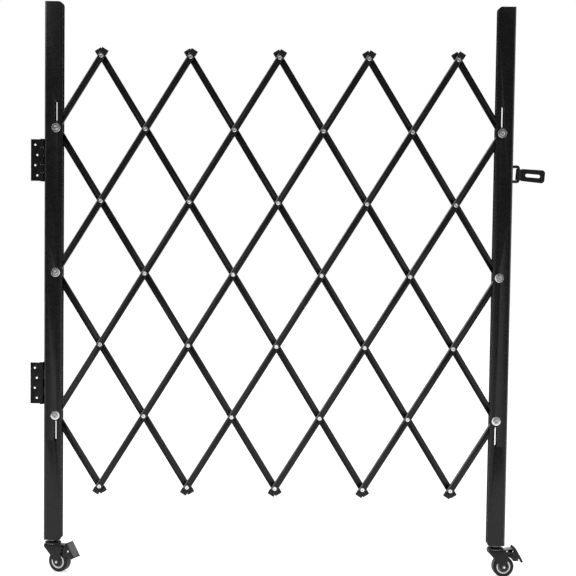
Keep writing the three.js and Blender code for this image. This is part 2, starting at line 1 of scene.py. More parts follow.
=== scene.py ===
# %% [markdown]
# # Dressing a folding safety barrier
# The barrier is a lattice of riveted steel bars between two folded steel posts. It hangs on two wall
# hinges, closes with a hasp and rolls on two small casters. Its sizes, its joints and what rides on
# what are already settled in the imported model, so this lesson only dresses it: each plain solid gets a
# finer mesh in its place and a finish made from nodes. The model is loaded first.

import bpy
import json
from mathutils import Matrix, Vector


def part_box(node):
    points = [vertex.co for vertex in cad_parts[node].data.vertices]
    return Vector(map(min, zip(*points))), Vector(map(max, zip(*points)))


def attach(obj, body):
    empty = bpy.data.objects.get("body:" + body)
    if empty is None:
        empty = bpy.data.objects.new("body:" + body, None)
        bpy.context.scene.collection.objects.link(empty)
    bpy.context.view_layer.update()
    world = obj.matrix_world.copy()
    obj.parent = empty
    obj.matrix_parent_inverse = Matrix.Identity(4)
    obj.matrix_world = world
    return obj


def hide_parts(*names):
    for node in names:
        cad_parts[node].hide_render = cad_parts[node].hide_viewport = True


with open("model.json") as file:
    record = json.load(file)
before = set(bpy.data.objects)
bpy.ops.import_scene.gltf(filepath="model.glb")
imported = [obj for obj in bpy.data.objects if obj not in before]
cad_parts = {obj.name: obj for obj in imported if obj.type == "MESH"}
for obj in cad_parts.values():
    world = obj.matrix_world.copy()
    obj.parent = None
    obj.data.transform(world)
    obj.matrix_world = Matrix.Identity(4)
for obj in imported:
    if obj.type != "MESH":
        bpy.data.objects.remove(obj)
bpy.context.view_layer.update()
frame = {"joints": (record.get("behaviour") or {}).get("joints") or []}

# %% [markdown]
# ## Where things are
# A scissor lattice is a grid: its pivots stand in even columns and rows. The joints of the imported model
# give two post pivots and one rivet, and every other pivot is counted from them. Meshes below are drawn
# in millimetres, because that is how a maker reads them, and scaled to metres when they are placed.

# %% Grid of the lattice
import json
import math

import bmesh
import bpy
from mathutils import Matrix, Vector
from mathutils.geometry import tessellate_polygon

MM = 0.001
COLUMNS, ROWS = 10, 6
joint_at = {joint["name"]: Vector(joint["pos_m"]) for joint in frame["joints"]}
joint_axis = {joint["name"]: Vector(joint["axis"]) for joint in frame["joints"]}
first_pivot = joint_at["fold"]
column_pitch = (joint_at["right_post_pivot"].x - first_pivot.x) / COLUMNS
row_pitch = first_pivot.z - joint_at["front_bar_3_pivot"].z
lean = math.atan2(column_pitch, row_pitch)
link = math.hypot(column_pitch, row_pitch) / MM


def pivot(column, row):
    return first_pivot + Vector((column * column_pitch, 0, (ROWS / 2 - row) * row_pitch))


def at(*spot):
    return Matrix.Translation(spot)


print(f"link {link:.1f} mm, lean {math.degrees(lean):.2f} degrees")

# %% [markdown]
# ## Camera
# The photograph is a straight front view from a little above the middle, with a slight tilt of the
# picture. A camera was fitted to the rivets, so it is placed by its distance from the lattice and three
# small angles, and not by eye. It comes before the pieces, since they are judged through it.

# %% Camera
CAMERA_FROM_MIDDLE = Vector((0.0425, -3.5, 0.1836))
LENS_MM, SENSOR_MM = 91.39, 36
LOOK_DOWN, LOOK_LEFT, ROLL = math.radians(3.51), math.radians(0.27), math.radians(0.74)
scene = bpy.context.scene
camera = bpy.data.objects.new("camera", bpy.data.cameras.new("camera"))
camera.data.lens, camera.data.sensor_width = LENS_MM, SENSOR_MM
camera.matrix_world = (
    at(*(pivot(COLUMNS / 2, ROWS / 2) + CAMERA_FROM_MIDDLE))
    @ Matrix.Rotation(LOOK_LEFT, 4, "Z")
    @ Matrix.Rotation(math.pi / 2 - LOOK_DOWN, 4, "X")
    @ Matrix.Rotation(ROLL, 4, "Z")
)
scene.collection.objects.link(camera)
scene.camera = camera
scene.view_settings.view_transform = "Standard"
print("camera at", [round(value, 3) for value in camera.matrix_world.translation])

# %% [markdown]
# ## Studio light
# Black paint shows little colour of its own: what the eye reads is what the paint reflects. The studio is
# white behind the barrier and overhead, and dim behind the camera, so the posts look dark at eye level
# and paler near the bright floor, as in the photograph. The world's brightness is worked out from the
# direction alone, and camera rays get plain white.

# %% World
DIM, BRIGHT, WHITE = 0.12, 0.9, (1, 1, 1, 1)
OVERHEAD, BEHIND = (0.25, 0.8), (-0.5, 0.4)
world = bpy.data.worlds.new("studio")
world.use_nodes = True
scene.world = world


def dial(node, **numbers):
    """Sets a node's sockets by name, where an underscore stands for a space."""
    for socket, number in numbers.items():
        node.inputs[socket.replace("_", " ")].default_value = number


def ramp(tree, value, limits, start, end):
    """start below the limits, end above them and a smooth step between."""
    step = tree.nodes.new("ShaderNodeMapRange")
    step.interpolation_type = "SMOOTHSTEP"
    dial(step, From_Min=limits[0], From_Max=limits[1], To_Min=start, To_Max=end)
    tree.links.new(value, step.inputs["Value"])
    return step.outputs["Result"]


def maths(tree, kind, first, second):
    node = tree.nodes.new("ShaderNodeMath")
    node.operation = kind
    for socket, value in zip(node.inputs, (first, second)):
        if isinstance(value, (int, float)):
            socket.default_value = value
        else:
            tree.links.new(value, socket)
    return node.outputs[0]


tree = world.node_tree
direction = tree.nodes.new("ShaderNodeTexCoord")
parts = tree.nodes.new("ShaderNodeSeparateXYZ")
tree.links.new(direction.outputs["Generated"], parts.inputs[0])
overhead = ramp(tree, parts.outputs["Z"], OVERHEAD, DIM, BRIGHT)
behind = ramp(tree, parts.outputs["Y"], BEHIND, 0, BRIGHT)
seen = tree.nodes.new("ShaderNodeLightPath").outputs
glow = maths(tree, "MAXIMUM", overhead, behind)
glow = maths(tree, "MAXIMUM", glow, seen["Is Camera Ray"])
dial(tree.nodes["Background"], Color=WHITE)
tree.links.new(glow, tree.nodes["Background"].inputs["Strength"])
print("world: dim", DIM, "bright", BRIGHT)

# %% [markdown]
# Three soft area lamps model the edges: a key from the upper left, a weaker fill from the right, and a
# low one in front that lifts the lower halves of the posts. Large lamps are used because a small one
# would print a hard spot on every washer.

# %% Lamps
LAMPS = {
    "key": {"at": (-2.6, -2.2, 2.6), "size": 1.6, "watts": 26},
    "fill": {"at": (2.8, -2.0, 1.4), "size": 1.6, "watts": 14},
    "low": {"at": (0.0, -2.4, 0.35), "size": 1.2, "watts": 5},
}
AIM = Vector((0, 0, 0.7))
for name, lamp in LAMPS.items():
    light = bpy.data.lights.new(name, "AREA")
    light.size, light.energy = lamp["size"], lamp["watts"]
    holder = bpy.data.objects.new(name, light)
    holder.location = lamp["at"]
    holder.rotation_euler = (AIM - holder.location).to_track_quat("-Z", "Y").to_euler()
    scene.collection.objects.link(holder)
print("lamps:", ", ".join(LAMPS))

# %% [markdown]
# The floor is a pale sheet under the wheels. It is lit like any surface, so it keeps the barrier's soft
# shadow, and a little glow for the camera lifts the rest of it to the white of the photograph. It ends not
# far in front of the barrier, so that only the lowest parts mirror it, as they do there.

# %% Floor
FLOOR_HALF, FLOOR_FRONT, FLOOR_COLOUR, FLOOR_GLOW = 9.0, -2.4, (0.86, 0.86, 0.86, 1), 0.55
floor_mesh = bpy.data.meshes.new("floor")
corners = [(x, y, 0) for y in (FLOOR_FRONT, FLOOR_HALF) for x in (-FLOOR_HALF, FLOOR_HALF)]
floor_mesh.from_pydata(corners, [], [(0, 1, 3, 2)])
floor = bpy.data.objects.new("floor", floor_mesh)
scene.collection.objects.link(floor)
floor_paint = bpy.data.materials.new("floor paint")
floor_paint.use_nodes = True
tree = floor_paint.node_tree
shader = tree.nodes["Principled BSDF"]
dial(shader, Base_Color=FLOOR_COLOUR, Roughness=0.9, Emission_Color=WHITE)
seen = tree.nodes.new("ShaderNodeLightPath").outputs
looks = maths(tree, "MAXIMUM", seen["Is Camera Ray"], seen["Is Glossy Ray"])
looks = maths(tree, "MAXIMUM", looks, seen["Is Transmission Ray"])
tree.links.new(maths(tree, "MULTIPLY", looks, FLOOR_GLOW), shader.inputs["Emission Strength"])
floor_mesh.materials.append(floor_paint)
print("floor", 2 * FLOOR_HALF, "m wide")

# %% [markdown]
# ## Finishes
# Powder coat is a skin of melted powder: near-black, half matt, and pebbled like very fine orange peel.
# A flat colour would look like a shadow, so the shader gets three patterns: fine bumps for the peel, slow
# patches in the gloss where the skin is thicker, and a faint drift in the black. Coordinates are the
# object's own, so the pattern stays on a bar when it moves. The sheets' bends get a paler finish of their
# own, which is a painted highlight: the light that the bends catch, put into their colour.

# %% Powder coat, plastic and rubber
CLOUD_LIMITS, DRIFT_SIZE, GLOSS_SIZE, PEEL_FLATNESS = (0.3, 0.7), 0.02, 0.006, 8


def pattern(tree, coordinates, size, detail, low, high):
    """Cloudy noise whose patches are about size metres across, spread between low and high."""
    noise = tree.nodes.new("ShaderNodeTexNoise")
    dial(noise, Scale=1 / size, Detail=detail)
    tree.links.new(coordinates, noise.inputs["Vector"])
    return ramp(tree, noise.outputs["Fac"], CLOUD_LIMITS, low, high)


def coated(name, dark, pale, gloss, peel, bump, shine=0.35, metallic=0.0):
    """A finish with colour drift from dark to pale, roughness patches in gloss and bumps of size peel."""
    material = bpy.data.materials.new(name)
    material.use_nodes = True
    tree = material.node_tree
    shader = tree.nodes["Principled BSDF"]
    own = tree.nodes.new("ShaderNodeTexCoord").outputs["Object"]
    colour = tree.nodes.new("ShaderNodeMix")
    colour.data_type = "RGBA"
    dial(colour, A=(*dark, 1), B=(*pale, 1))
    tree.links.new(pattern(tree, own, DRIFT_SIZE, 3, 0, 1), colour.inputs["Factor"])
    tree.links.new(colour.outputs["Result"], shader.inputs["Base Color"])
    tree.links.new(pattern(tree, own, GLOSS_SIZE, 2, *gloss), shader.inputs["Roughness"])
    raised = tree.nodes.new("ShaderNodeBump")
    dial(raised, Strength=bump, Distance=peel / PEEL_FLATNESS)
    tree.links.new(pattern(tree, own, peel, 1, 0, 1), raised.inputs["Height"])
    tree.links.new(raised.outputs["Normal"], shader.inputs["Normal"])
    dial(shader, Specular_IOR_Level=shine, Metallic=metallic)
    return material


def greys(*levels):
    """Neutral colours, each given by its level alone."""
    return [(level, level, level) for level in levels]


STEEL_BLACK = (0.0045, 0.0045, 0.005), (0.0075, 0.0075, 0.008)
post_paint = coated("post powder coat", *STEEL_BLACK, (0.25, 0.33), 0.0011, 0.14, 0.3)
bar_paint = coated("bar powder coat", *STEEL_BLACK, (0.27, 0.35), 0.001, 0.14, 0.3)
# The two bend finishes are paler copies of the coat: a painted highlight along the bends.
post_bend_highlight = coated("post bend", (0.03, 0.03, 0.031), (0.05, 0.05, 0.052), (0.22, 0.3), 0.0011, 0.15, 0.5)
bar_bend_highlight = coated("bar bend", (0.13, 0.13, 0.132), (0.2, 0.2, 0.204), (0.22, 0.3), 0.001, 0.12, 0.6)
hinge_paint = coated("hinge powder coat", *greys(0.003, 0.005), (0.3, 0.4), 0.0009, 0.3, 0.22)
hasp_paint = coated("hasp powder coat", *greys(0.004, 0.008), (0.3, 0.42), 0.0009, 0.3, 0.3)
caster_paint = coated("caster black", *greys(0.004, 0.008), (0.28, 0.38), 0.0008, 0.2, 0.3)
cap_plastic = coated("cap plastic", *greys(0.005, 0.009), (0.38, 0.48), 0.0006, 0.25, 0.3)
tread_rubber = coated("tread", *greys(0.006, 0.011), (0.4, 0.5), 0.0007, 0.25, 0.3)
pedal_paint = coated("pedal grey", (0.085, 0.085, 0.087), (0.13, 0.13, 0.133), (0.4, 0.55), 0.0008, 0.3)
print("finishes so far:", len(bpy.data.materials))

# %% [markdown]
# Zinc plating is bright but never a mirror: it comes from a barrel of tumbling parts, so it is finely
# scratched and clouded. The same recipe serves with full metallic, a pale colour and clouds of gloss. The
# bolts' heads, the casters' nuts and the wheels' cores are duller steel, so each gets a darker mix of it.

# %% Zinc and duller steel
zinc = coated("zinc plate", (0.6, 0.61, 0.62), (0.8, 0.81, 0.82), (0.16, 0.26), 0.0012, 0.06, 0.5, 1.0)
head_steel = coated("bolt head", (0.3, 0.3, 0.31), (0.5, 0.5, 0.51), (0.24, 0.34), 0.001, 0.1, 0.5, 1.0)
CORE_BLACK, DULL_GLOSS = ((0.08, 0.08, 0.083), (0.16, 0.16, 0.165)), (0.3, 0.42)
nut_steel = coated("dull nut", (0.16, 0.16, 0.165), (0.26, 0.26, 0.27), DULL_GLOSS, 0.001, 0.2, 0.5, 1.0)
rim_steel = coated("rim ring", (0.66, 0.66, 0.65), (0.8, 0.8, 0.79), DULL_GLOSS, 0.001, 0.15, 0.5, 0.6)
core_steel = coated("wheel core", *CORE_BLACK, DULL_GLOSS, 0.001, 0.2, 0.5, 0.4)
print("finishes in all:", len(bpy.data.materials))

# %% [markdown]
# ## Three ways to make metal parts
# Most of this barrier is sheet steel, turned steel or bent rod, so three small workshops make it all. They
# share their drawing tools: arcs, slots, rounded corners, and a line drawn tight round circles as a belt.
# An outline is a plain list of points, so the same tools serve for blanks, sections and profiles.

# %% Outlines
CORNER_STEPS = 5


def arc(x, y, radius, start, end, steps=12):
    """Points on an arc, with its angles in degrees."""
    turns = [math.radians(start + (end - start) * step / steps) for step in range(steps + 1)]
    return [(x + radius * math.cos(turn), y + radius * math.sin(turn)) for turn in turns]


def circle(x, y, radius, steps=24):
    return arc(x, y, radius, 0, 360, steps)[:-1]


def slot(x, low, high, radius):
    """A slot that stands upright, with round ends centred at low and high."""
    return arc(x, high, radius, 0, 180) + arc(x, low, radius, 180, 360)


def rounded(points, radii, closed=True, steps=CORNER_STEPS):
    """The same outline with each corner turned into an arc. radii is one radius, or one for each."""
    radii = radii if isinstance(radii, (list, tuple)) else [radii] * len(points)
    out = []
    for i, point in enumerate(points):
        corner = Vector(point)
        back = Vector(points[i - 1]) - corner
        ahead = Vector(points[(i + 1) % len(points)]) - corner
        if radii[i] == 0 or (not closed and i in (0, len(points) - 1)):
            out.append(tuple(corner))
            continue
        back, ahead = back.normalized(), ahead.normalized()
        half = back.angle(ahead) / 2
        centre = corner + (back + ahead).normalized() * radii[i] / math.sin(half)
        start = corner + back * radii[i] / math.tan(half) - centre
        end = corner + ahead * radii[i] / math.tan(half) - centre
        swing = -start.angle_signed(end)
        for step in range(steps + 1):
            out.append(tuple(centre + Matrix.Rotation(swing * step / steps, 2) @ start))
    return out


def belt(stops, steps=8):
    """An open outline drawn tight round circles (x, y, radius) on its left. Radius 0 is a corner and a
    negative radius puts the circle on the right, which makes a hollow fillet."""
    headings = []
    for (x, y, near), (x_next, y_next, far) in zip(stops, stops[1:]):
        gap = Vector((x_next - x, y_next - y))
        headings.append(math.atan2(gap.y, gap.x) - math.asin((far - near) / gap.length))
    out = []
    for (x, y, radius), before, after in zip(stops, headings[:1] + headings, headings + headings[-1:]):
        swing = (after - before + math.pi) % (2 * math.pi) - math.pi
        if radius > 0 and swing < 0:
            swing += 2 * math.pi
        for step in range(steps + 1 if radius and swing else 1):
            heading = before + swing * step / steps
            out.append((x + radius * math.sin(heading), y - radius * math.cos(heading)))
    return out


print("a rounded square has", len(rounded([(0, 0), (9, 0), (9, 9), (0, 9)], 2)), "points")

# %% [markdown]
# The first workshop cuts a flat blank with its holes and folds it along a section, as a press brake does.
# Folding a real blank gives true bends with even walls, which a beveled box would only suggest.

# %% Blanks and folds
FLAT = 0.01


def blank(outline, holes, wall, sink=()):
    """A flat sheet in the XY plane from z = 0 to wall. sink gives holes a second outline at z = wall."""
    loops = [outline, *holes]
    far = [outline, *(sink or holes)]
    triangles = tessellate_polygon([[Vector((x, y, 0)) for x, y in loop] for loop in loops])
    mesh = bmesh.new()
    near_ring = [mesh.verts.new((x, y, 0)) for loop in loops for x, y in loop]
    far_ring = [mesh.verts.new((x, y, wall)) for loop in far for x, y in loop]
    for a, b, c in triangles:
        mesh.faces.new((near_ring[a], near_ring[b], near_ring[c]))
        mesh.faces.new((far_ring[c], far_ring[b], far_ring[a]))
    start = 0
    for loop in loops:
        for step in range(len(loop)):
            a, b = start + step, start + (step + 1) % len(loop)
            mesh.faces.new((near_ring[a], near_ring[b], far_ring[b], far_ring[a]))
        start += len(loop)
    bmesh.ops.recalc_face_normals(mesh, faces=mesh.faces)
    bmesh.ops.dissolve_limit(mesh, angle_limit=FLAT, verts=mesh.verts, edges=mesh.edges)
    return mesh


def fold(mesh, section, walls=(), highlight_share=0):
    """Bends a blank along a section, which is the line of its outer face with the inside on its left.
    The blank's x runs along the section, its y becomes z, and its thickness goes inwards. walls may
    give each point of the section its own share of that thickness. The last argument paints a highlight:
    the outer faces of the bends in that first share of the section get the second material."""
    line = [Vector(point) for point in section]
    walls = walls or [1] * len(line)
    stops = [0.0]
    for a, b in zip(line, line[1:]):
        stops.append(stops[-1] + (b - a).length)
    for stop in stops[1:-1]:
        everything = mesh.verts[:] + mesh.edges[:] + mesh.faces[:]
        bmesh.ops.bisect_plane(mesh, geom=everything, dist=1e-4, plane_co=(stop, 0, 0), plane_no=(1, 0, 0))
    runs = [(b - a).normalized() for a, b in zip(line, line[1:])]
    longest = max((b - a).length for a, b in zip(line, line[1:]))
    # Painted highlight: outer faces of the short bends in that share take the second, paler material.
    for face in mesh.faces if highlight_share else ():
        middle, outer = face.calc_center_median().x, all(vertex.co.z < 1e-4 for vertex in face.verts)
        k = max(i for i in range(len(stops) - 1) if stops[i] <= middle or i == 0)
        if outer and 0 < k < highlight_share * (len(line) - 2) and (line[k + 1] - line[k]).length < longest / 8:
            face.material_index = 1
    inward = []
    for before, after in zip([runs[0], *runs], [*runs, runs[-1]]):
        middle = (before + after).normalized()
        inward.append(Vector((-middle.y, middle.x)) / middle.dot(after))
    for vertex in mesh.verts:
        x, height, depth = vertex.co
        k = max(i for i in range(len(stops) - 1) if stops[i] <= x + 1e-3 or i == 0)
        share = (x - stops[k]) / (stops[k + 1] - stops[k])
        depth *= walls[k] + (walls[k + 1] - walls[k]) * share
        place = line[k].lerp(line[k + 1], share) + inward[k].lerp(inward[k + 1], share) * depth
        vertex.co = (place.x, place.y, height)
    return mesh


def length_of(section):
    return sum((Vector(b) - Vector(a)).length for a, b in zip(section, section[1:]))


print("blank and fold are ready")

# %% [markdown]
# The second workshop is a lathe. A profile of radii and heights is spun about an axis, and a ring of the
# profile can be a hexagon instead of a circle, which makes nuts and hex sockets from the same tool. Small
# numbers in the profiles below are their chamfers and roundings, in millimetres.

# %% Lathe
SIDES = 36


def turned(profile, sides=SIDES):
    """Spins (radius, height) pairs about Z. A third value, 6, makes that ring a hexagon by its corners."""
    mesh = bmesh.new()
    closed = profile[0] == profile[-1]
    rings = []
    for radius, height, *corners in profile[: len(profile) - closed]:
        if radius == 0:
            rings.append([mesh.verts.new((0, 0, height))])
            continue
        ring = []
        for step in range(sides):
            turn, reach = 2 * math.pi * step / sides, radius
            if corners:
                sector = 2 * math.pi / corners[0]
                reach *= math.cos(sector / 2) / math.cos(turn % sector - sector / 2)
            ring.append(mesh.verts.new((reach * math.cos(turn), reach * math.sin(turn), height)))
        rings.append(ring)
    for low, high in zip(rings, rings[1:] + rings[:closed]):
        for step in range(sides):
            a, b = step, (step + 1) % sides
            ring = [low[a % len(low)], low[b % len(low)], high[b % len(high)], high[a % len(high)]]
            mesh.faces.new(list(dict.fromkeys(ring)))
    bmesh.ops.recalc_face_normals(mesh, faces=mesh.faces)
    return mesh


def mirrored(upper):
    """A profile from the half of it that lies above the middle."""
    return [(radius, -height) for radius, height in upper] + upper[::-1]


def looped(profile):
    """A profile that ends where it starts, for a piece with a bore."""
    return profile + profile[:1]


print("lathe is ready with", SIDES, "sides")

# %% [markdown]
# The third workshop bends rod along a line. Rings of points follow the line and a skin closes them, which
# keeps the rod round in its bends. The moulded caps below use the same skin.

# %% Rod
def skinned(mesh, rings):
    """Closes rings of vertices to a skin, with a lid at either end."""
    for low, high in zip(rings, rings[1:]):
        for step in range(len(low)):
            nxt = (step + 1) % len(low)
            mesh.faces.new((low[step], low[nxt], high[nxt], high[step]))
    mesh.faces.new(rings[0])
    mesh.faces.new(rings[-1])
    bmesh.ops.recalc_face_normals(mesh, faces=mesh.faces)
    return mesh


def rod(points, radius, sides=24):
    """A round rod in the XZ plane along (x, z) points."""
    mesh = bmesh.new()
    path = [Vector(point) for point in points]
    rings = []
    for i, point in enumerate(path):
        before = (point - path[i - 1]).normalized() if i else (path[1] - point).normalized()
        after = (path[i + 1] - point).normalized() if i + 1 < len(path) else before
        along = (before + after).normalized()
        out = Vector((-along.y, along.x)) / along.dot(after)
        spots = [(point + out * across, depth) for across, depth in circle(0, 0, radius, sides)]
        rings.append([mesh.verts.new((spot.x, depth, spot.y)) for spot, depth in spots])
    return skinned(mesh, rings)


print("rod is ready")

# %% [markdown]
# Two finishing steps serve every piece. Cut edges are broken with a small bevel, because an edge with no
# width catches no light. Then the piece is placed, painted and tied to the body that it moves with.

# %% Bevel and placing
SHARP, SMOOTH_BELOW, EDGE, FINE_EDGE = 40, 32, 0.3, 0.25
made = []


def broken(mesh, width, segments=2):
    """Bevels every edge that turns by more than SHARP degrees."""
    limit = math.radians(SHARP)
    edges = [edge for edge in mesh.edges if len(edge.link_faces) == 2 and edge.calc_face_angle() > limit]
    bmesh.ops.bevel(mesh, geom=edges, offset=width, segments=segments, profile=0.5, affect="EDGES",
                    clamp_overlap=True)
    return mesh


def joined(*meshes):
    """Several bmeshes as one."""
    whole = meshes[0]
    for mesh in meshes[1:]:
        carrier = bpy.data.meshes.new("carrier")
        mesh.to_mesh(carrier)
        mesh.free()
        whole.from_mesh(carrier)
        bpy.data.meshes.remove(carrier)
    return whole


def moved(mesh, matrix):
    bmesh.ops.transform(mesh, matrix=matrix, verts=mesh.verts)
    return mesh


def piece(name, mesh, place, body, material, stands_for=(), second=None):
    """Places a mesh drawn in millimetres, and makes it a painted piece that rides on a body. Its turn goes
    into the mesh, so that its box is true. second is the paler finish of its bends, a painted highlight."""
    data = bpy.data.meshes.new(name)
    mesh.transform(place.to_3x3().to_4x4() @ Matrix.Scale(MM, 4))
    mesh.to_mesh(data)
    mesh.free()
    data.shade_smooth()
    data.set_sharp_from_angle(angle=math.radians(SMOOTH_BELOW))
    for finish in filter(None, (material, second)):
        data.materials.append(finish)
    thing = bpy.data.objects.new(name, data)
    thing.matrix_world = at(*place.translation)
    scene.collection.objects.link(thing)
    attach(thing, body)
    if stands_for:
        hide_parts(*stands_for)
    made.append(thing)


FORWARD = Matrix.Rotation(math.pi / 2, 4, "X")
ABOUT_FACE = Matrix.Rotation(math.pi, 4, "Z")
print("edges are broken by", EDGE, "or", FINE_EDGE, "mm")

# %% [markdown]
# ## Bars
# Each bar is a narrow channel. Bars that rise to the right lie in front and those that fall lie behind,
# back to back, with their open sides facing. A bar is cut flat with a hole for each pivot and folded
# twice. Its web is what the photograph shows, so the small radius of the fold is kept true. The fine light
# line along the front bars lies on their upper left bend, where the lamps catch it, so a bar gets a paler
# finish there, a painted highlight, on that side only.

# %% Bars
BAR_WIDTH, BAR_DEPTH, BAR_WALL, BAR_BEND = 16, 8, 1.3, 2
BAR_FACE = 9.1
PAST_RIVET, PAST_BOLT = 17, 11
RIVET_HOLE, BOLT_HOLE, BAR_CORNER, HIGHLIGHT_HALF = 3.3, 3.4, 2, 0.5
bar_half = BAR_WIDTH / 2
bar_section = rounded(
    [(-bar_half, BAR_DEPTH), (-bar_half, 0), (bar_half, 0), (bar_half, BAR_DEPTH)], BAR_BEND, False)
bar_sheet = length_of(bar_section)


def bar_line(front, number):
    """Top row, bottom row and column of a row, for a bar that is counted from the left."""
    line = 2 * number - 1 if front else 2 * number - ROWS - 1
    top = max(0, line - COLUMNS) if front else max(0, -line)
    bottom = min(ROWS, line) if front else min(ROWS, COLUMNS - line)
    return top, bottom, (lambda row: line - row) if front else (lambda row: line + row)


def on_post(column):
    return column in (0, COLUMNS)


def bar_place(front, column, row):
    turn = Matrix.Rotation(lean if front else -lean, 4, "Y")
    place = at(*pivot(column, row)) @ turn
    return place if front else place @ ABOUT_FACE


rivets, caps = [], []
for number in range(1, (COLUMNS + ROWS) // 2 + 1):
    for front in (True, False):
        top, bottom, column_at = bar_line(front, number)
        name = f"{'front' if front else 'back'}_bar_{number}"
        spans = bottom - top
        low = PAST_BOLT if on_post(column_at(bottom)) else PAST_RIVET
        high = PAST_BOLT if on_post(column_at(top)) else PAST_RIVET
        holes = []
        for row in range(top, bottom + 1):
            bolted = on_post(column_at(row))
            holes.append(circle(bar_sheet / 2, (bottom - row) * link, BOLT_HOLE if bolted else RIVET_HOLE))
            if front and not bolted:
                rivets.append((name, column_at(row), row))
        length = spans * link
        sheet = [(0, -low), (bar_sheet, -low), (bar_sheet, length + high), (0, length + high)]
        # One bend of each bar gets the paler finish, a painted highlight.
        bar = fold(blank(rounded(sheet, BAR_CORNER), holes, BAR_WALL), bar_section, highlight_share=HIGHLIGHT_HALF)
        bar = broken(moved(bar, at(0, -BAR_FACE, 0)), FINE_EDGE)
        place = bar_place(front, column_at(bottom), bottom)
        piece(name + "_steel", bar, place, name, bar_paint, [name], bar_bend_highlight)
        if not on_post(column_at(top)):
            caps.append((name, "top", place @ at(0, 0, length * MM)))
        if not on_post(column_at(bottom)):
            caps.append((name, "foot", place @ Matrix.Rotation(math.pi, 4, "Y")))
print("bars:", len(made), "rivets to set:", len(rivets), "caps to fit:", len(caps))

# %% [markdown]
# ## Rivets
# The silver dots are tubular rivets. The tube's mouth is rolled outwards into a ring, so each has a dark
# hole in a bright bead. One profile with rounded corners is spun for all of them.

# %% Rivets
RIVET_SHANK, RIVET_HEAD, RIVET_TAIL, RIVET_MOUTH = 3, 5, 4.6, 1.9
head_top, tail_top = BAR_FACE + 2, BAR_FACE + 0.3 + 1.7
head_bore, tail_bore, tail_mouth = head_top - 5, 3 - tail_top, RIVET_MOUTH - 0.4
rivet_profile = [(0, head_bore)] + rounded(
    [(RIVET_MOUTH, head_bore), (RIVET_MOUTH, head_top), (RIVET_HEAD, head_top - 0.3),
     (RIVET_HEAD, BAR_FACE - 0.1), (RIVET_SHANK, BAR_FACE - 0.1), (RIVET_SHANK, -BAR_FACE - 0.1),
     (RIVET_TAIL, -BAR_FACE - 0.3), (RIVET_TAIL, -tail_top), (tail_mouth, -tail_top)],
    [0.2, 0.9, 0.9, 0.2, 0, 0, 0.2, 0.7, 0.3], False, 4) + [(tail_mouth, tail_bore), (0, tail_bore)]
for name, column, row in rivets:
    place = bar_place(True, column, row) @ FORWARD
    piece(f"rivet_{column}_{row}", turned(rivet_profile, 28), place, name, zinc)
print("rivets:", len(rivets))

# %% [markdown]
# ## End caps
# Moulded caps slip over the bars' open ends at the apexes, where a front and a back one fan apart. A cap
# is a thin box, open at the bar's side. Its outline is rounded and then raised in rings that draw in a
# little at the closed end, which gives the soft moulded nose.

# %% End caps
CAP_LENGTH, CAP_END, CAP_GAP, CAP_WALL, CAP_FACE = 12, 1.5, 0.3, 0.5, 1
CAP_DRAFT, CAP_NOSE = 0.25, 0.9


def cap_mesh():
    half = bar_half + CAP_GAP + CAP_WALL
    front, back = -BAR_FACE - CAP_GAP - CAP_FACE, -0.4
    mouth, seat = PAST_RIVET + CAP_GAP + CAP_END - CAP_LENGTH, PAST_RIVET + CAP_GAP
    tip = seat + CAP_END

    def ring(inset, radius):
        low, high = front + inset, back - inset
        side = half - inset
        return rounded([(-side, low), (side, low), (side, high), (-side, high)], radius, steps=4)

    skin = [(ring(CAP_WALL, 0.6), seat), (ring(CAP_WALL, 0.6), mouth), (ring(0.1, 1.5), mouth),
            (ring(0, 1.5), mouth + 0.3), (ring(CAP_DRAFT / 2, 1.5), (mouth + tip) / 2),
            (ring(CAP_DRAFT, 1.5), tip - CAP_NOSE), (ring(CAP_DRAFT + 0.25, 1.3), tip - CAP_NOSE / 3),
            (ring(CAP_DRAFT + 0.8, 1), tip)]
    mesh = bmesh.new()
    return skinned(mesh, [[mesh.verts.new((x, y, z)) for x, y in points] for points, z in skin])


for bar, end, place in caps:
    cap = f"{bar}_{end}_cap"
    piece(cap + "_shell", cap_mesh(), place, bar, cap_plastic, [cap])
print("caps:", len(caps))

# %% [markdown]
# ## Posts
# A post is the same idea on a larger scale: a wide sheet with two slots and a bolt hole in each flange,
# rounded at its free corners, and folded to a channel that the lattice slides into. Both of its bends get
# a slightly paler finish, a painted highlight. A plate at its foot carries the caster.

# %% Posts
POST_DEPTH, POST_WIDTH, POST_WALL, POST_BEND = 28, 43, 1.5, 4
BOLT_FROM_WEB, TOP_CORNER, FOOT_CORNER, FOOT_PLATE = 27.5, 10.5, 6.5, 3
STAPLE_ARM, STAPLE_HOLE, SLOT_RADIUS, SLOT_GAP, STEM_HOLE = 17.75, 3.9, 3.1, 0.4, 5.3
post_foot, post_top = [(corner.z - first_pivot.z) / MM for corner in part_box("left_post")]
slot_inner = 2 * row_pitch / MM - SLOT_GAP
SHUT_LEAN = lean - math.radians(next(j["range_deg"][1] for j in frame["joints"] if j["name"] == "fold"))
slot_outer = 2 * link * math.cos(SHUT_LEAN) + SLOT_GAP
half = POST_DEPTH / 2
post_section = rounded([(POST_WIDTH, half), (0, half), (0, -half), (POST_WIDTH, -half)], POST_BEND, False)
post_sheet = length_of(post_section)
bolt_line = POST_WIDTH - BOLT_FROM_WEB
staple_height = (joint_at["hasp_swing"].z - first_pivot.z) / MM
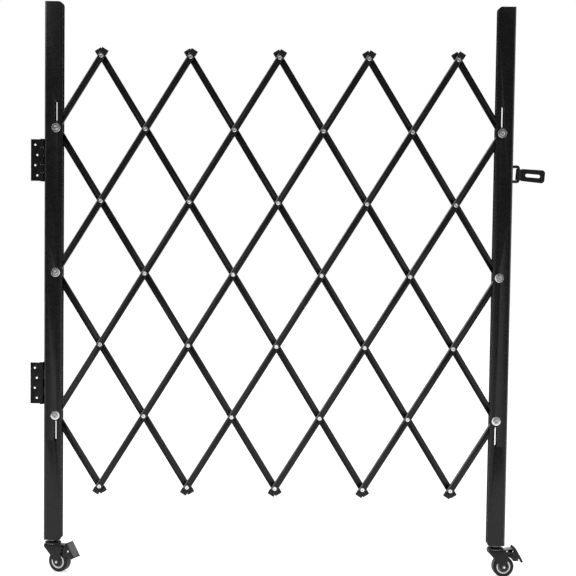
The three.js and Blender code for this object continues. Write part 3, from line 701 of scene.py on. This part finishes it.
for side in ("left", "right"):
    holes = []
    for line in (bolt_line, post_sheet - bolt_line):
        holes += [slot(line, slot_inner, slot_outer, SLOT_RADIUS),
                  slot(line, -slot_outer, -slot_inner, SLOT_RADIUS), circle(line, 0, BOLT_HOLE)]
    if side == "right":
        for height in (staple_height - STAPLE_ARM, staple_height + STAPLE_ARM):
            holes.append(circle(post_sheet / 2, height, STAPLE_HOLE))
    outline = [(0, post_foot), (post_sheet, post_foot), (post_sheet, post_top), (0, post_top)]
    corners = [FOOT_CORNER, FOOT_CORNER, TOP_CORNER, TOP_CORNER]
    # Both bends of the post get the paler finish, a painted highlight.
    post = fold(blank(rounded(outline, corners, steps=8), holes, POST_WALL), post_section, highlight_share=1)
    post = broken(moved(post, at(-BOLT_FROM_WEB, 0, 0)), EDGE)
    hub = joint_at["fold"] if side == "left" else joint_at["right_post_pivot"]
    place = at(*hub) @ (Matrix() if side == "left" else ABOUT_FACE)
    body = f"{side}_post"
    piece(f"{side}_post_steel", post, place, body, post_paint, [body], post_bend_highlight)
    inner = half - POST_WALL
    plate_end = POST_WIDTH - FOOT_CORNER
    plate = [(POST_WALL, -inner), (plate_end, -inner), (plate_end, inner), (POST_WALL, inner)]
    plate = blank(rounded(plate, 1.5), [circle(POST_WIDTH / 2, 0, STEM_HOLE)], FOOT_PLATE)
    plate = broken(moved(plate, at(-BOLT_FROM_WEB, 0, post_foot)), EDGE)
    piece(f"{side}_foot_plate", plate, place, body, post_paint)
print("post", round(post_top - post_foot), "mm tall from a sheet", round(post_sheet, 1), "mm wide")

# %% [markdown]
# ## Post bolts
# Each side of the lattice is held by three bolts, and the outer two slide in the slots. In the photograph
# they are the brightest things on the barrier: a broad zinc washer with a duller domed socket head on it.
# Head, washers and nut are turned, and the socket and the nut use the lathe's hexagon rings.

# %% Post bolts
BOLT_RADIUS, BOLT_HEAD, HEAD_HEIGHT, WASHER, WASHER_WALL = 3, 6.6, 4.2, 10.7, 1.6
SOCKET, SOCKET_DEPTH, NUT, NUT_HEIGHT, SEAT_GAP, SPIN = 2.5, 2.6, 5.8, 5, 0.3, 17
seat = half + SEAT_GAP + WASHER_WALL
crown = seat + HEAD_HEIGHT
bolt_tip = SEAT_GAP - seat - NUT_HEIGHT
bolt_profile = [(0, crown - SOCKET_DEPTH - 0.8), (SOCKET, crown - SOCKET_DEPTH, 6),
                (SOCKET, crown - 0.2, 6), (SOCKET + 0.5, crown, 6)]
bolt_profile += rounded(
    [(3.8, crown), (5.4, crown - 0.8), (6.3, crown - 2.2), (BOLT_HEAD, seat + 0.2),
     (BOLT_HEAD - 0.2, seat), (BOLT_RADIUS, seat)], [0.3, 2, 2, 0, 0, 0], False, 3)
bolt_profile += [(BOLT_RADIUS, bolt_tip + 0.9), (BOLT_RADIUS - 0.8, bolt_tip), (0, bolt_tip)]
nut_profile = looped([
    (BOLT_RADIUS + 0.1, 0), (NUT - 0.9, 0), (NUT, 0.6, 6), (NUT, NUT_HEIGHT - 0.6, 6),
    (NUT - 0.9, NUT_HEIGHT), (BOLT_RADIUS + 0.6, NUT_HEIGHT), (BOLT_RADIUS + 0.1, NUT_HEIGHT - 0.5)])
washer_bore = BOLT_RADIUS + 0.2
washer_profile = looped(rounded(
    [(washer_bore, 0), (WASHER, 0), (WASHER, WASHER_WALL), (washer_bore, WASHER_WALL)],
    [0, 0.25, 0.35, 0.2], steps=3))
BOLTS = {
    "left_top": ("back_bar_3", 0, 1),
    "left_middle": ("left_post", 0, 3),
    "left_bottom": ("front_bar_3", 0, 5),
    "right_top": ("front_bar_6", 10, 1),
    "right_middle": ("right_post", 10, 3),
    "right_bottom": ("back_bar_6", 10, 5),
}
for number, (name, (body, column, row)) in enumerate(BOLTS.items()):
    spin = Matrix.Rotation(math.radians(SPIN * number), 4, "Z")
    place = at(*pivot(column, row)) @ FORWARD @ spin
    washers = joined(*[moved(turned(washer_profile), at(0, 0, z)) for z in (half + SEAT_GAP, -seat)])
    nut = moved(turned(nut_profile), at(0, 0, -seat - NUT_HEIGHT))
    piece(f"{name}_bolt_steel", turned(bolt_profile), place, body, head_steel, [f"{name}_bolt"])
    piece(f"{name}_washers", washers, place, body, zinc)
    piece(f"{name}_nut", nut, place, body, zinc)
print("bolts:", len(BOLTS))

# %% [markdown]
# ## Wall hinges
# A butt hinge is stamped sheet: knuckles left on the edge of each leaf are rolled round a pin. The same
# two steps make it here. The blank is cut with its knuckles and countersunk holes, and the folding line
# ends in a roll. The roll is drawn thinner than the leaf, as the metal stretches there.

# %% Hinges
LEAF, LEAF_WIDTH, LEAF_HEIGHT, POST_LEAF_WIDTH, POST_LEAF_EXTRA = 2.4, 26.7, 99, 24, 1.2
BARREL, PIN, KNUCKLE_GAP, KNUCKLES = 3.8, 2.3, 0.4, 5
PIN_TO_LEAF = 5.3
SCREW_PITCH, SCREW_FROM_EDGE, SCREW_STAGGER, SCREW_HOLE, SCREW_SINK = 24.2, 10.1, 4.8, 2.4, 4.4
leaf_start = BARREL + KNUCKLE_GAP
roll_share = (BARREL - PIN - 0.05) / LEAF


def knuckles(indices, stretch):
    """Heights of the knuckles of one leaf, the end ones longer by stretch."""
    pitch = LEAF_HEIGHT / KNUCKLES
    for index in indices:
        low = -LEAF_HEIGHT / 2 + index * pitch + (0 if index == 0 else KNUCKLE_GAP / 2)
        high = -LEAF_HEIGHT / 2 + (index + 1) * pitch - (0 if index == KNUCKLES - 1 else KNUCKLE_GAP / 2)
        yield low - (stretch if index == 0 else 0), high + (stretch if index == KNUCKLES - 1 else 0)


def leaf_mesh(section, roll_points, width, half, tabs, holes=(), sinks=()):
    """A leaf from its folding line, whose first roll_points points are the roll."""
    total = length_of(section)
    tab = total - width
    outline = [(total, -half), (tab, -half)]
    for low, high in tabs:
        outline += [(tab, low), (0, low), (0, high), (tab, high)]
    outline = list(dict.fromkeys(outline + [(tab, half), (total, half)]))
    walls = [roll_share] * roll_points + [1] * (len(section) - roll_points)
    holes, sinks = [[[(total - x, z) for x, z in hole] for hole in cut] for cut in (holes, sinks)]
    return broken(fold(blank(outline, holes, LEAF, sinks), section, walls), FINE_EDGE)


roll = arc(0, 0, BARREL, -195, 90, 24)
wall_section = roll + [(-leaf_start, BARREL), (-LEAF_WIDTH, BARREL)]
post_roll = arc(0, 0, BARREL, -285, 0, 24)
post_leaf_section = post_roll + rounded(
    [(BARREL, 0), (PIN_TO_LEAF, leaf_start), (PIN_TO_LEAF, leaf_start + POST_LEAF_WIDTH)],
    [0, 3, 0], False)[1:]
screws = [(SCREW_FROM_EDGE + (i % 2) * SCREW_STAGGER, (1.5 - i) * SCREW_PITCH) for i in range(4)]
holes, sinks = [[circle(x, z, radius, 28) for x, z in screws] for radius in (SCREW_HOLE, SCREW_SINK)]
half_leaf = LEAF_HEIGHT / 2
hinge_pin = mirrored([(0, half_leaf + 0.9), (PIN - 0.7, half_leaf + 0.9), (PIN, half_leaf + 0.3)])
for level in ("upper", "lower"):
    low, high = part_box(f"{level}_wall_leaf")
    place = at(joint_at["gate_swing"].x, joint_at["gate_swing"].y, (low.z + high.z) / 2)
    wall_leaf = leaf_mesh(wall_section, len(roll), LEAF_WIDTH - leaf_start, half_leaf,
                          list(knuckles((1, 3), 0)), holes, sinks)
    post_leaf = leaf_mesh(post_leaf_section, len(post_roll), POST_LEAF_WIDTH,
                          half_leaf + POST_LEAF_EXTRA, list(knuckles((0, 2, 4), POST_LEAF_EXTRA)))
    for node, mesh, body in ((f"{level}_wall_leaf", wall_leaf, "wall_leaves"),
                             (f"{level}_post_leaf", post_leaf, "left_post")):
        piece(node + "_plate", mesh, place, body, hinge_paint, [node])
    piece(f"{level}_hinge_pin", turned(hinge_pin, 24), place, "left_post", hinge_paint)
print("hinges: two leaves and a pin each")

# %% [markdown]
# ## Hasp
# The staple is a rod bent twice, with its ends upset behind the post's web. The tab is a strap doubled
# round it: one long blank with two slots and a narrow waist, folded in half over the rod. Folding it
# keeps the seam between its two layers, which shows from above. It hangs a little low on the rod, and
# droops, as a loose strap does.

# %% Hasp
STAPLE_ROD, STAPLE_REACH, STAPLE_BEND, STAPLE_TAIL, TAIL_LENGTH = 3.5, 14.5, 3.7, 5, 2
TAB_LENGTH, TAB_HEIGHT, TAB_LAYER, TAB_CORNER, TAB_DROOP = 63, 31.5, 1.95, 7.5, math.radians(4.4)
WRAP_RADIUS, WRAP_HALF, WRAP_FILLET, WAIST_END, SHOULDER, SHOULDER_HALF = 6.6, 13.1, 2.5, 6.8, 7.6, 14.4
TAB_SLOT_LENGTH, TAB_SLOT_WIDTH, TAB_SLOT_FROM_END, TAB_SAG, TAB_EDGE = 35.5, 7.9, 11, 0.9, 0.6
hasp_place = at(*joint_at["hasp_swing"])
tail = -STAPLE_REACH - POST_WALL - SEAT_GAP - TAIL_LENGTH
arm_end = tail + 0.5
staple = rod(rounded([(arm_end, STAPLE_ARM), (0, STAPLE_ARM), (0, -STAPLE_ARM), (arm_end, -STAPLE_ARM)],
                     STAPLE_BEND, False, 8), STAPLE_ROD)
SIDEWAYS = Matrix.Rotation(math.pi / 2, 4, "Y")
tail_profile = [(0, 0), (STAPLE_TAIL - 1.2, 0), (STAPLE_TAIL - 0.3, 0.5), (STAPLE_TAIL, TAIL_LENGTH - 0.4),
                (STAPLE_TAIL - 0.2, TAIL_LENGTH), (0, TAIL_LENGTH)]
tails = [moved(turned(tail_profile, 24), at(tail, 0, side * STAPLE_ARM) @ SIDEWAYS) for side in (-1, 1)]
piece("hasp_staple_rod", joined(staple, *tails), hasp_place, "right_post", hasp_paint,
      ["hasp_staple"])

face = TAB_LAYER + 0.05
rise = math.asin((face + WRAP_FILLET) / (WRAP_RADIUS + WRAP_FILLET))
fillet_x, rise_deg = (WRAP_RADIUS + WRAP_FILLET) * math.cos(rise), math.degrees(rise)
approach = [(TAB_LENGTH, face)] + arc(fillet_x, face + WRAP_FILLET, WRAP_FILLET, 270, 180 + rise_deg, 6)
tab_section = approach + arc(0, 0, WRAP_RADIUS, rise_deg, 360 - rise_deg, 24)[1:-1]
tab_section += [(x, -y) for x, y in reversed(approach)]
strap = length_of(tab_section)
shoulder, waist, half = TAB_LENGTH - SHOULDER, TAB_LENGTH - WAIST_END, TAB_HEIGHT / 2
side_line = [(0, half), (shoulder, SHOULDER_HALF), (waist, WRAP_HALF), (strap - waist, WRAP_HALF),
             (strap - shoulder, SHOULDER_HALF), (strap, half)]
outline = side_line + [(x, -y) for x, y in reversed(side_line)]
radii = [TAB_CORNER, 1.4, 0.7, 0.7, 1.4, TAB_CORNER] * 2
slot_end = TAB_SLOT_WIDTH / 2
slot_near, slot_far = TAB_SLOT_FROM_END + slot_end, TAB_SLOT_FROM_END + TAB_SLOT_LENGTH - slot_end
lying = [[(y, -x) for x, y in slot(0, low, high, slot_end)]
         for low, high in ((slot_near, slot_far), (strap - slot_far, strap - slot_near))]
tab = fold(blank(rounded(outline, radii, steps=8), lying, TAB_LAYER), tab_section)
tab_place = hasp_place @ at(0, 0, -TAB_SAG * MM) @ Matrix.Rotation(TAB_DROOP, 4, "Y")
piece("hasp_tab_strap", broken(tab, TAB_EDGE, segments=3), tab_place, "hasp_tab", hasp_paint,
      ["hasp_tab"])
print("hasp strap", round(strap), "mm long before folding")

# %% [markdown]
# ## Casters
# Each caster is a small machine of its own: a stem with its nuts, a dish over a ring of balls, a fork
# folded from sheet, a wheel with a metal core in a rubber tread, and a brake pedal with a leaf spring.
# All of it is made about the swivel axis, with z = 0 under the post and the wheel trailing along +X.

# %% Caster sizes
WHEEL, WHEEL_WIDTH, TRAIL, AXLE_DROP = 25.4, 21, 19, 51.6
STEM, FOOT_NUT, FOOT_NUT_HEIGHT, LOCK_NUT, LOCK_NUT_HEIGHT = 5, 11, 3.4, 8.3, 6
DISH, DISH_HEIGHT, RACE_HEIGHT, FORK_WALL = 20, 5.2, 1.8, 2
LEG_OUTER, LEG_FRONT, CROWN_FRONT, CROWN_REAR, FORK_BEND = 15.1, -17, -18, 24, 3
BOSS, AXLE, AXLE_HEAD, AXLE_HEAD_HEIGHT = 8.5, 3, 4.8, 2.6
PEDAL_PIVOT, EAR, PEDAL_PIN = Vector((43, -21.8)), 5, 2.4
PEDAL_TOP, PEDAL_TOE, CHEEK_OUTER, PEDAL_WALL = Vector((45.6, -3.6)), Vector((66, -38.3)), 17.1, 1.6
SHOE, SHOE_BELOW_PIVOT, PIN_END, LIGHTENING, LOCK_SEAT = 3, 11, 1.5, 3, 3.3
dish_top = -SEAT_GAP - FOOT_NUT_HEIGHT
race_top = dish_top - DISH_HEIGHT
crown_top = race_top - RACE_HEIGHT - SEAT_GAP
print("fork crown", round(-crown_top, 1), "mm under the post")

# %% [markdown]
# The fork is one folded sheet. Its leg runs from the crown to the axle boss, and an arm reaches back from
# it to the ear that carries the pedal. Such an outline is drawn tight round a few circles, as a belt.

# %% Fork
leg_low, leg_top = -AXLE_DROP - BOSS, crown_top - FORK_BEND
ARM_CORNER, ARM_FILLET, NECK = (28.5, PEDAL_PIVOT.y - EAR), 3, 2.35
leg = belt([
    (LEG_FRONT, leg_top, 0), (LEG_FRONT, crown_top - 6.5, 0),
    (TRAIL - NECK * BOSS, -AXLE_DROP + 2 * BOSS, 0), (TRAIL, -AXLE_DROP, BOSS),
    (ARM_CORNER[0] + ARM_FILLET, ARM_CORNER[1] - ARM_FILLET, -ARM_FILLET),
    (*PEDAL_PIVOT, EAR), (CROWN_REAR, leg_top, 0)])
ALONG_TRAIL = Matrix(((0, 0, 1, 0), (1, 0, 0, 0), (0, 1, 0, 0), (0, 0, 0, 1)))


def channel_from(side_view, deep, outer, bend, wall, drills, brow=()):
    """Folds a channel whose two sides have the outline side_view, given as (height, length along)."""
    line = rounded([(outer, -deep), (outer, 0), (-outer, 0), (-outer, -deep)], bend, False)
    total = length_of(line)
    outline = side_view + [(total - s, along) for s, along in reversed(side_view)]
    outline += [(total - side_view[0][0] - bend, along) for along in brow]
    outline += [(side_view[0][0] + bend, along) for along in brow]
    holes = [circle(s, along, radius, 28)
             for height, along, radius in drills for s in (height, total - height)]
    return fold(blank(outline, holes, wall), line)


def fork_mesh():
    drills = [(z - leg_low, x, radius) for x, z, radius in (
        (TRAIL, -AXLE_DROP, AXLE + 0.3), (*PEDAL_PIVOT, PEDAL_PIN + 0.4),
        ((TRAIL + PEDAL_PIVOT.x) / 2 + LIGHTENING, PEDAL_PIVOT.y, LIGHTENING))]
    side_view = [(z - leg_low, x) for x, z in leg]
    deep = crown_top - leg_low
    mesh = channel_from(side_view, deep, LEG_OUTER, FORK_BEND, FORK_WALL, drills, [CROWN_FRONT])
    return broken(moved(mesh, at(0, 0, crown_top) @ ALONG_TRAIL), EDGE)


print("fork leg has", len(leg), "points")

# %% [markdown]
# The pedal is folded the same way, about the slope of its foot plate. Its cheeks reach in to the cross
# pin and to the shoe that presses on the tread. Each cheek has a round window, a rim along the plate, and
# a notch with a finger below the shoe, because these draw its outline in the photograph. A grey foot pad
# lies on the plate, inside a darker rim.

# %% Pedal
slope = (PEDAL_TOE - PEDAL_TOP).normalized()
outward = Vector((-slope.y, slope.x))
pedal_length = (PEDAL_TOE - PEDAL_TOP).length


def on_pedal(point):
    """A point of the caster's side view as (distance down the slope, depth under the plate)."""
    away = Vector(point) - PEDAL_TOP
    return away.dot(slope), -away.dot(outward)


pivot_at, shoe_at = on_pedal(PEDAL_PIVOT), on_pedal(PEDAL_PIVOT - Vector((0, SHOE_BELOW_PIVOT)))
PEDAL_BEND, RIM, WEDGE, FINGER = 2, 6.2, (21, 5.8), (31.2, 9.6)
cheek = belt([(pedal_length, RIM, 0), (*WEDGE, 0), (*FINGER, 1), (*shoe_at, SHOE + 1), (*pivot_at, EAR),
              (0, PEDAL_BEND, 0)])
WINDOW = (*on_pedal((50, -22.4)), 2.9)
pedal_turn = Matrix(((slope.x, 0, outward.x, PEDAL_TOP.x), (0, 1, 0, 0),
                     (slope.y, 0, outward.y, PEDAL_TOP.y), (0, 0, 0, 1)))
PAD_INSET, PAD_CORNER, PAD_WALL, PAD_EDGE = 3, 4, 0.5, 0.22


def pedal_mesh():
    deep = max(depth for along, depth in cheek)
    drills = [(deep - depth, along, radius) for along, depth, radius in (
        (*pivot_at, PEDAL_PIN + 0.1), (*shoe_at, PIN_END), WINDOW)]
    side_view = [(deep - depth, along) for along, depth in reversed(cheek)]
    mesh = channel_from(side_view, deep, CHEEK_OUTER, PEDAL_BEND, PEDAL_WALL, drills)
    return broken(moved(mesh, pedal_turn @ ALONG_TRAIL), EDGE)


def pad_mesh():
    low, high, side = PAD_INSET, pedal_length - PAD_INSET, CHEEK_OUTER - PAD_INSET - 0.2
    outline = [(low, -side), (high, -side), (high, side), (low, side)]
    pad = blank(rounded(outline, PAD_CORNER, steps=6), [], PAD_WALL)
    return broken(moved(pad, pedal_turn), PAD_EDGE)


print("pedal", round(pedal_length, 1), "mm long")

# %% [markdown]
# The wheel is turned in three parts: a rubber tread with soft shoulders, a bright lip, which is the pale
# ring in the photograph, and a dark core whose hub stands out a little on either side.

# %% Wheel, dish and nuts
half_wheel = WHEEL_WIDTH / 2
LIP, LIP_INNER, HUB, HUB_OVERHANG = 16.9, 12.8, 8, 2


tread_profile = looped(mirrored(rounded(
    [(LIP - 0.3, half_wheel - 0.6), (LIP + 1, half_wheel), (WHEEL - 0.9, half_wheel),
     (WHEEL, half_wheel - 1.3), (WHEEL, 0.1)], [0, 0.4, 0.7, 0.8, 0], False, 4)))
ring_profile = looped(mirrored(rounded(
    [(LIP_INNER - 0.4, half_wheel - 3.4), (LIP_INNER, half_wheel - 0.9),
     (LIP_INNER + 1.2, half_wheel + 0.3), (LIP - 0.9, half_wheel + 0.4), (LIP, half_wheel - 0.2),
     (LIP, half_wheel - 1)], [0, 0.6, 0.8, 0.8, 0.4, 0], False, 4)))
hub_end = half_wheel + HUB_OVERHANG
core_profile = looped(mirrored(rounded(
    [(AXLE + 0.4, hub_end), (HUB - 1.4, hub_end), (HUB, half_wheel + 0.9), (HUB + 0.6, 6.2),
     (LIP_INNER - 1.4, 5.6), (LIP_INNER - 0.3, half_wheel - 2.4)],
    [0, 0.8, 0.6, 1, 1.2, 0], False, 4)))
dish_profile = looped(rounded(
    [(STEM + 0.1, dish_top), (11, dish_top), (17, dish_top - 1.4), (DISH, dish_top - 3), (DISH, race_top),
     (DISH - 1.4, race_top), (DISH - 1.6, dish_top - 3.8), (STEM + 0.1, dish_top - 1.8)],
    [0, 2, 4, 1.6, 0.4, 0.3, 1, 0], False, 4))


def hex_nut(radius, low, high, bore):
    """A chamfered hexagon nut."""
    flat = radius * math.cos(math.pi / 6)
    return turned(looped([
        (bore, low), (flat - 0.3, low), (radius, low + 0.7, 6), (radius, high - 0.7, 6),
        (flat - 0.3, high), (bore + 0.5, high), (bore, high - 0.5)]))


def balls_mesh():
    ring, count, radius = DISH - 3.4, 22, 1.2
    ball = [(0, -radius), *arc(0, 0, radius, -75, 75, 6), (0, radius)]
    spots = [Matrix.Rotation(2 * math.pi * step / count, 4, "Z") @ at(ring, 0, race_top - 0.6)
             for step in range(count)]
    return joined(*[moved(turned(ball, 12), spot) for spot in spots])


def pin_profile(half, radius, edge):
    """A round bar of that half length with softened ends."""
    return mirrored(rounded([(0, half), (radius, half), (radius, 0.1)], [0, edge, 0], False, 4))


stem_profile = [(0, -15.8), (STEM + 1.5, -15.8), (STEM + 2, -15.2), (STEM + 1.8, -14.1), (STEM, -13.9),
                (STEM, 10.2), (STEM - 0.6, 10.7), (0, 10.7)]
axle_seat = LEG_OUTER + SEAT_GAP
axle_top = axle_seat + AXLE_HEAD_HEIGHT
axle_profile = mirrored(rounded(
    [(0, axle_top), (AXLE_HEAD - 1.4, axle_top), (AXLE_HEAD - 0.1, LEG_OUTER + 1.4),
     (AXLE_HEAD, axle_seat), (AXLE, axle_seat)], [0, 1.2, 0.8, 0, 0], False, 4))
print("core lip", LIP, "mm, tread", WHEEL, "mm")

# %% [markdown]
# The leaf spring is a dull strip. It leaves the fork's crown, runs out over its rear edge and ends near
# the top of the pedal, where it holds the brake up or down. A shorter leaf under it hangs down from the
# crown towards the pedal's pivot. Both are fixed to the fork, so they stop short of the pedal's travel.

# %% Leaf spring
SPRING_WIDTH, SPRING_WALL = 23, 0.8
spring_foot = crown_top + SPRING_WALL + 0.05
SPRING_EDGE, SPRING_CORNERS = 0.15, [4, 2, 2, 4]
spring_line = rounded([(44.5, -8), (36, -8.4), (26, spring_foot), (18.8, spring_foot)],
                      [0, 10, 12, 0], False, 5)
under_line = rounded([(35.5, -22), (31.5, -14), (24.4, spring_foot - SPRING_WALL - 0.05)],
                     [0, 8, 0], False, 5)


def spring_mesh():
    lay = Matrix(((1, 0, 0, 0), (0, 0, -1, 0), (0, 1, 0, 0), (0, 0, 0, 1)))
    leaves = []
    for line in (spring_line, under_line):
        length, side = length_of(line), SPRING_WIDTH / 2
        strip = rounded([(0, -side), (length, -side), (length, side), (0, side)], SPRING_CORNERS)
        leaves.append(broken(moved(fold(blank(strip, [], SPRING_WALL), line), lay), SPRING_EDGE))
    return joined(*leaves)


print("leaf spring", round(length_of(spring_line)), "mm long")

# %% [markdown]
# Last, both casters are put together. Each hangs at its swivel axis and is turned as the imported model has
# it, which is read from its wheel's axle. A row gives a piece's name, mesh, place, body, slot and finish,
# and the solid that it stands for.

# %% Assemble the casters
for side in ("left", "right"):
    axis = joint_axis[f"{side}_wheel_spin"]
    swivel = at(*joint_at[f"{side}_caster_swivel"]) @ Matrix.Rotation(math.atan2(-axis.x, axis.y), 4, "Z")
    at_axle = swivel @ at(TRAIL * MM, 0, -AXLE_DROP * MM) @ FORWARD
    at_pin = swivel @ at(PEDAL_PIVOT.x * MM, 0, PEDAL_PIVOT.y * MM) @ FORWARD
    at_shoe = at_pin @ at(0, -SHOE_BELOW_PIVOT * MM, 0)
    post = f"{side}_post"
    mount, fork, pedal, wheel, axle = [f"{side}_caster_{part}" for part in
                                       ("mount", "fork", "pedal", "wheel", "axle")]
    nuts = joined(hex_nut(FOOT_NUT, dish_top, -SEAT_GAP, STEM),
                  hex_nut(LOCK_NUT, LOCK_SEAT, LOCK_SEAT + LOCK_NUT_HEIGHT, STEM), turned(stem_profile, 28))
    axle_ends = turned(pin_profile(axle_top + 0.5, AXLE - 0.4, 0.8), 24)
    cross_pin = turned(pin_profile(CHEEK_OUTER, PEDAL_PIN, 0.5), 20)
    shoe_pin = turned(pin_profile(CHEEK_OUTER, PIN_END, 0.3), 16)
    shoe = turned(pin_profile(CHEEK_OUTER - PEDAL_WALL - SEAT_GAP, SHOE, 0.6), 20)
    parts = [
        ("stem_and_nuts", nuts, swivel, post, "zinc", nut_steel, mount),
        ("dish", turned(dish_profile, 48), swivel, post, "caster_paint", caster_paint),
        ("balls", balls_mesh(), swivel, post, "zinc", zinc),
        ("fork_sheet", fork_mesh(), swivel, fork, "caster_paint", caster_paint, fork),
        ("leaf_spring", spring_mesh(), swivel, fork, "zinc", nut_steel),
        ("tread", turned(tread_profile, 64), at_axle, wheel, "tread", tread_rubber, wheel),
        ("lip_ring", turned(ring_profile, 64), at_axle, wheel, "zinc", rim_steel),
        ("core", turned(core_profile, 48), at_axle, wheel, "zinc", core_steel),
        ("axle_bolt", turned(axle_profile, 28), at_axle, fork, "zinc", core_steel, axle),
        ("axle_ends", axle_ends, at_axle, fork, "zinc", zinc),
        ("pedal_sheet", pedal_mesh(), swivel, pedal, "caster_paint", caster_paint, pedal),
        ("pedal_pad", pad_mesh(), swivel, pedal, "caster_paint", pedal_paint),
        ("cross_pin", cross_pin, at_pin, pedal, "caster_paint", caster_paint),
        ("shoe_pin", shoe_pin, at_shoe, pedal, "caster_paint", caster_paint),
        ("shoe", shoe, at_shoe, pedal, "tread", tread_rubber),
    ]
    for name, mesh, place, body, slot_name, material, *stands_for in parts:
        piece(f"{side}_{name}", mesh, place, body, material, stands_for)
print("pieces in all:", len(made))

# %% [markdown]
# The boxes of the imported model and of the dressed one should agree to within a fraction of a
# millimetre, because dressing a part mustn't change its size.

print("dressing finished")
